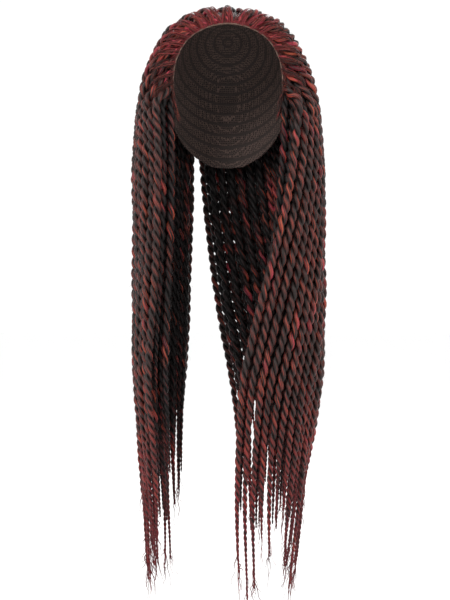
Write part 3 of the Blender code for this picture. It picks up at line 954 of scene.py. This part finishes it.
for side in ("right", "left"):
    count = side_count(side)
    tops = sorted(hairline_roots(side, count))
    ways = {top: over_cap("twist_%s_%02d" % (side, top + 1), 40) for top in tops}
    for row, inward in enumerate(INNER_INSETS):
        plies = []
        for number in range(count - 1):
            low = max(top for top in tops if top <= number)
            high = min(top for top in tops if top > number)
            share = (number + 0.5 - low) / (high - low)
            place = (number + 1 - INNER_SHIFT * row) / count
            drop = shake.uniform(INNER_SHORTEST, INNER_LONGEST)
            start = INNER_STARTS[row]
            line = inner_line(side, place, ways[low], ways[high], share, inward, start, drop)
            plies += wound_plies(line, inner_radius, shake, INNER_STATIONS[row])
        name = "inner_twists_%s_%d" % (side, row + 1)
        finish_hair(fibre_mesh(name, plies, 6, INNER_HAIR_PAINTED_SHADE, shake))


# At each root the hair comes out of a small field of the lace or the cap and is drawn together
# into its twist. Where two of the first twists part widely, more hair of the same fibre is tied
# in between them and combed back flat over the cap.

ROOT_LOCKS = 40  # to a twist at the hairline
BACK_LOCKS = 26  # to a twist that starts on the cap
ROOT_FIELD = 0.0150  # across a root's field
ROOT_AHEAD = 0.0022  # of a root at the hairline, how far its field reaches in front of it
BACK_AHEAD = 0.006  # the same on the cap
FIELD_BEHIND = 0.004
DRAWN_IN = (0.012, 0.034)  # along a twist, where the locks join it
LOCK_TURN = (0.1, 1.2)  # radians round the twist from its top, where they join it
LOCK_BED = 0.94  # of the twist's radius, where they join it
LOCK_DIAMETER = 0.0007
LOCK_SHAPE = np.array([0.8, 1.0, 1.1, 1.15, 1.1, 0.95, 0.7, 0.3])
COMBED_LOOKS = (0.010, 0.025, 0.040, 0.055)  # along two twists, where their distance is taken
COMBED_GAP = 0.0165  # only where they come farther apart than this
COMBED_SPACING = 0.00062
COMBED_ACROSS = (-0.1, 1.1)  # where they lie, as shares from one twist to the other
COMBED_REACH = (0.030, 0.080)
COMBED_HEIGHT = (0.0008, 0.0042)  # over the cap
COMBED_DIAMETER = 0.0011
COMBED_SHAPE = np.array([0.6, 0.9, 1.0, 1.1, 1.1, 1.0, 0.8, 0.4])


def surface_frame(point, ahead):
    """Straight out of the head at a point, and along and across the way a twist sets off."""
    direction, _ = over_head(point)
    out = direction / head_axes(direction) ** 2
    out = out / np.linalg.norm(out)
    along_way = ahead - point
    along_way = along_way - out * np.dot(along_way, out)
    along_way = along_way / np.linalg.norm(along_way)
    return out, along_way, np.cross(out, along_way)


def root_locks(line, count, ahead_of_root, shake):
    """Locks from the field round a twist's root, drawn into its first stretch."""
    out, forward, aside = surface_frame(line[0], line[2])
    locks = []
    for _ in range(count):
        across = ROOT_FIELD * (shake.random() - 0.5)
        back = shake.uniform(-ahead_of_root, FIELD_BEHIND)
        start = line[0] + aside * across + forward * back
        start = head_point(over_head(start)[0], CAP_WALL)
        reach = shake.uniform(*DRAWN_IN)
        end = along(line, reach)
        end_out = surface_frame(end, along(line, reach + 0.004))
        radius = twist_radius(end, reach, 1.0)
        turn = math.copysign(shake.uniform(*LOCK_TURN), across)
        end = end + LOCK_BED * radius * (math.cos(turn) * end_out[0] + math.sin(turn) * end_out[2])
        span = np.linalg.norm(end - start)
        first = start + span * (0.30 * forward + 0.42 * out)
        second = end - span * 0.40 * end_out[1] + 0.08 * span * out
        share = np.linspace(0.0, 1.0, len(LOCK_SHAPE))[:, None]
        path = (1 - share) ** 3 * start + 3 * share * (1 - share) ** 2 * first
        path = path + 3 * share**2 * (1 - share) * second + share**3 * end
        swell = LOCK_DIAMETER / 2 * shake.uniform(0.6, 1.25)
        locks.append((path, swell * LOCK_SHAPE, np.linspace(0.0, reach, len(LOCK_SHAPE))))
    return locks


def combed_locks(one, two, shake):
    """Hair combed back flat over the cap, where it is bare between two neighbouring twists."""
    apart = [np.linalg.norm(along(one, gone) - along(two, gone)) for gone in COMBED_LOOKS]
    if max(apart) < COMBED_GAP:
        return []
    locks = []
    for _ in range(int(max(apart) / COMBED_SPACING)):
        share, reach = shake.uniform(*COMBED_ACROSS), shake.uniform(*COMBED_REACH)
        high = shake.uniform(*COMBED_HEIGHT)
        path = []
        for part in np.linspace(0.0, 1.0, len(COMBED_SHAPE)):
            point = (1 - share) * along(one, part * reach) + share * along(two, part * reach)
            rise = CAP_WALL + high * math.sin(math.pi * (0.06 + 0.90 * part))
            path.append(head_point(over_head(point)[0], rise))
        gone = np.linspace(0.0, reach, len(COMBED_SHAPE))
        locks.append((np.array(path), COMBED_DIAMETER / 2 * COMBED_SHAPE, gone))
    return locks


locks = []
first_twists = {"right": [], "left": []}
for side in ("right", "left"):
    tops = hairline_roots(side, side_count(side))
    for number in range(side_count(side)):
        line = routes["twist_%s_%02d" % (side, number + 1)]
        if number in tops:
            locks += root_locks(line, ROOT_LOCKS, ROOT_AHEAD, shake)
            first_twists[side].append(line)
        else:
            locks += root_locks(line, BACK_LOCKS, BACK_AHEAD, shake)
in_turn = first_twists["right"] + first_twists["left"][::-1]
for one, two in zip(in_turn, in_turn[1:]):
    locks += combed_locks(one, two, shake)
finish_hair(fibre_mesh("root_hair", locks, 4, TWISTED_HAIR, shake))


# At the tips the twists come undone into thin wavy locks. They are the same fibre, neither tied
# nor sealed, and hang free below the last turns.

TIP_LOCKS = 8  # to a twist
TIP_START = 0.045  # above a tip, where the first locks come loose
TIP_REACH = 0.040  # below a tip, the most that they reach
LOCK_THICKNESS = (0.0007, 0.0009, 0.0013, 0.0021)
LOCK_POINTS = 16
LOCK_DRIFT = 0.0045  # sideways at its end
LOCK_WAVE = (0.0006, 0.0018)
LOCK_BENDS = (1.2, 3.2)  # waves in a lock
LOCK_TAPER = 0.72  # how much thinner it ends
LOWEST = 0.726  # below the crown


def loose_locks(line, count, shake):
    """Thin locks that leave a twist near its tip and hang in waves."""
    total = length_of(line)
    locks = []
    for _ in range(count):
        leave = total - shake.uniform(0.004, TIP_START)
        start = along(line, leave)
        heading = along(line, leave + 0.003) - start
        heading = heading / np.linalg.norm(heading)
        low = min(LOWEST, -line[-1][2] + shake.uniform(-0.010, TIP_REACH))
        reach = max(0.012, low + start[2])
        drift = np.array([shake.gauss(0, LOCK_DRIFT), shake.gauss(0, LOCK_DRIFT), 0.0])
        phase, wave = shake.uniform(0, 6.28), shake.uniform(*LOCK_WAVE)
        bends = shake.uniform(*LOCK_BENDS)
        share = np.linspace(0.0, 1.0, LOCK_POINTS)
        down = start + share[:, None] * reach * np.array([heading[0], heading[1], -1.0])
        path = down + drift * (share[:, None] ** 1.6)
        sway = wave * np.sin(phase + bends * 2 * math.pi * share) * np.sqrt(share)
        other = wave * np.cos(phase * 1.3 + bends * 5.2 * share) * np.sqrt(share)
        path = path + np.stack([sway, other, np.zeros_like(share)], axis=1)
        thick = shake.choice(LOCK_THICKNESS) / 2
        locks.append((path, thick * (1.0 - LOCK_TAPER * share), leave + share * reach))
    return locks


locks = []
for name, line in routes.items():
    locks += loose_locks(line, TIP_LOCKS, shake)
finish_hair(fibre_mesh("loose_tips", locks, 4, TWISTED_HAIR, shake))


# Short fibres stand off all along the twists, as they do on any twist that has been handled.
# Each is wound into its twist at one end.

FLYAWAYS = 15  # to a twist
FLYAWAY_DIAMETER = 0.00016
FLYAWAY_LENGTH = (0.006, 0.016)
FLYAWAY_LIFT = (0.0012, 0.0042)  # off the twist
FLYAWAY_LEAN = 0.003  # round the twist, at most


def flyaways(line, count, shake):
    """Short fibres that bow out of a twist."""
    total = length_of(line)
    hairs = []
    for _ in range(count):
        leave = shake.uniform(0.01, total - 0.02)
        start = along(line, leave)
        heading = along(line, leave + 0.003) - start
        heading = heading / np.linalg.norm(heading)
        spin = np.array([shake.gauss(0, 1), shake.gauss(0, 1), shake.gauss(0, 1)])
        out = spin - heading * np.dot(spin, heading)
        out = out / np.linalg.norm(out)
        radius = twist_radius(start, leave, total - leave)
        size = shake.uniform(*FLYAWAY_LENGTH)
        lift = shake.uniform(*FLYAWAY_LIFT)
        side = np.cross(heading, out) * shake.uniform(-FLYAWAY_LEAN, FLYAWAY_LEAN)
        share = np.linspace(0.0, 1.0, 6)[:, None]
        path = start + 0.9 * radius * out + size * share * heading
        path = path + lift * np.sin(share * 2.6) * out + side * share**2
        share = share[:, 0]
        hairs.append((path, FLYAWAY_DIAMETER / 2 * (1.0 - 0.6 * share), leave + share * size))
    return hairs


hairs = []
for name, line in routes.items():
    hairs += flyaways(line, FLYAWAYS, shake)
finish_hair(fibre_mesh("flyaway_hair", hairs, 4, TWISTED_HAIR, shake))


# A plain pale floor below the tips, soft light from large lamps, and a level camera in front.

FLOOR_HEIGHT = -0.80
ROOM_LIGHT = 1.05

bpy.ops.mesh.primitive_plane_add(size=30, location=(0, 0, FLOOR_HEIGHT))
floor = bpy.context.object
floor.name = "floor"
PALE = new_surface("pale floor", 0.9, Base_Color=(0.95, 0.95, 0.95, 1.0))[0]
floor.data.materials.append(PALE)

world = bpy.data.worlds.new("soft room")
bpy.context.scene.world = world
world.use_nodes = True
background = world.node_tree.nodes["Background"]
background.inputs["Color"].default_value = (1.0, 1.0, 1.0, 1.0)
background.inputs["Strength"].default_value = ROOM_LIGHT


def lamp(name, place, target, size, watts):
    """A large soft lamp that is turned to its target."""
    bpy.ops.object.light_add(type="AREA", location=place)
    made = bpy.context.object
    made.name = name
    made.data.size = size
    made.data.energy = watts
    aim = Vector(target) - Vector(place)
    made.rotation_euler = aim.to_track_quat("-Z", "Y").to_euler()


lamp("key light", (-0.9, -1.6, 0.9), (0.0, 0.0, -0.25), 0.9, 24)
lamp("fill light", (1.3, -1.3, 0.3), (0.0, 0.0, -0.3), 0.8, 9)
lamp("back light", (0.3, 1.6, 1.0), (0.0, 0.0, -0.2), 1.0, 12)

CAMERA_PLACE = (-0.0035, -1.5, -0.352)
SEEN_HALF_HEIGHT = 0.375  # of what the camera sees at the wig

bpy.ops.object.camera_add(location=CAMERA_PLACE, rotation=(math.pi / 2, 0, 0))
camera = bpy.context.object
camera.data.sensor_fit = "VERTICAL"
camera.data.angle_y = 2 * math.atan(SEEN_HALF_HEIGHT / -CAMERA_PLACE[1])
bpy.context.scene.camera = camera
bpy.context.scene.view_settings.view_transform = "Standard"
bpy.context.scene.view_settings.look = "None"

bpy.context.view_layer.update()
